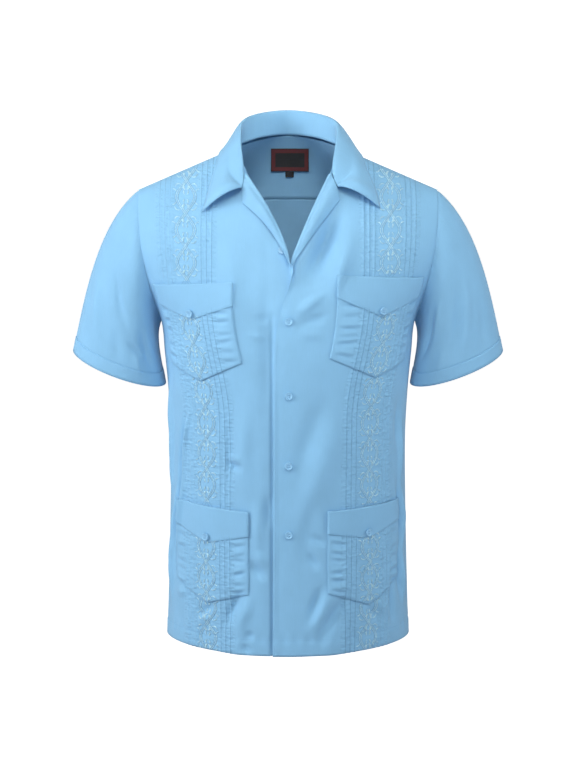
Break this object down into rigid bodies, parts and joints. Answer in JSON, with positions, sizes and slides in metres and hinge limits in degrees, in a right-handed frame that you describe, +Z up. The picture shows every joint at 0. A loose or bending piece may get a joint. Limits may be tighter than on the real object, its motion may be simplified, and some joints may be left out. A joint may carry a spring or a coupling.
{
  "type": "guayabera shirt",
  "caption": "Short-sleeved camp-collar shirt with pin-tucked, embroidered strips and pointed flap patch pockets, filled out as worn and open at neck, hem and sleeves.",
  "frame": {"origin": "midway between the two neck points of the shoulder seams, where the shirt hangs on its wearer's shoulders", "axes": "+Z up, the front faces -Y, the wearer's left is +X"},
  "size_m": [0.648, 0.2601, 0.7968],
  "materials": {
    "shirting": "matte plain-weave shirting, pale aqua embroidery thread on the strips",
    "button": "semi-gloss dyed-to-match plastic",
    "label": "matte damask label cloth, black with a dark red border, blank"
  },
  "bodies": {
    "root": {"front_left": "shirting", "front_right": "shirting", "back": "shirting", "yoke": "shirting", "collar": "shirting", "sleeve_left": "shirting", "sleeve_right": "shirting", "pocket_chest_left": "shirting", "pocket_chest_right": "shirting", "pocket_lower_left": "shirting", "pocket_lower_right": "shirting", "flap_chest_left": "shirting", "flap_chest_right": "shirting", "flap_lower_left": "shirting", "flap_lower_right": "shirting", "button_placket_1": "button", "button_placket_2": "button", "button_placket_3": "button", "button_placket_4": "button", "button_top": "button", "button_pocket_chest_left": "button", "button_pocket_chest_right": "button", "button_pocket_lower_left": "button", "button_pocket_lower_right": "button", "label_neck": "label", "tag_size": "label"}
  },
  "joints": []
}
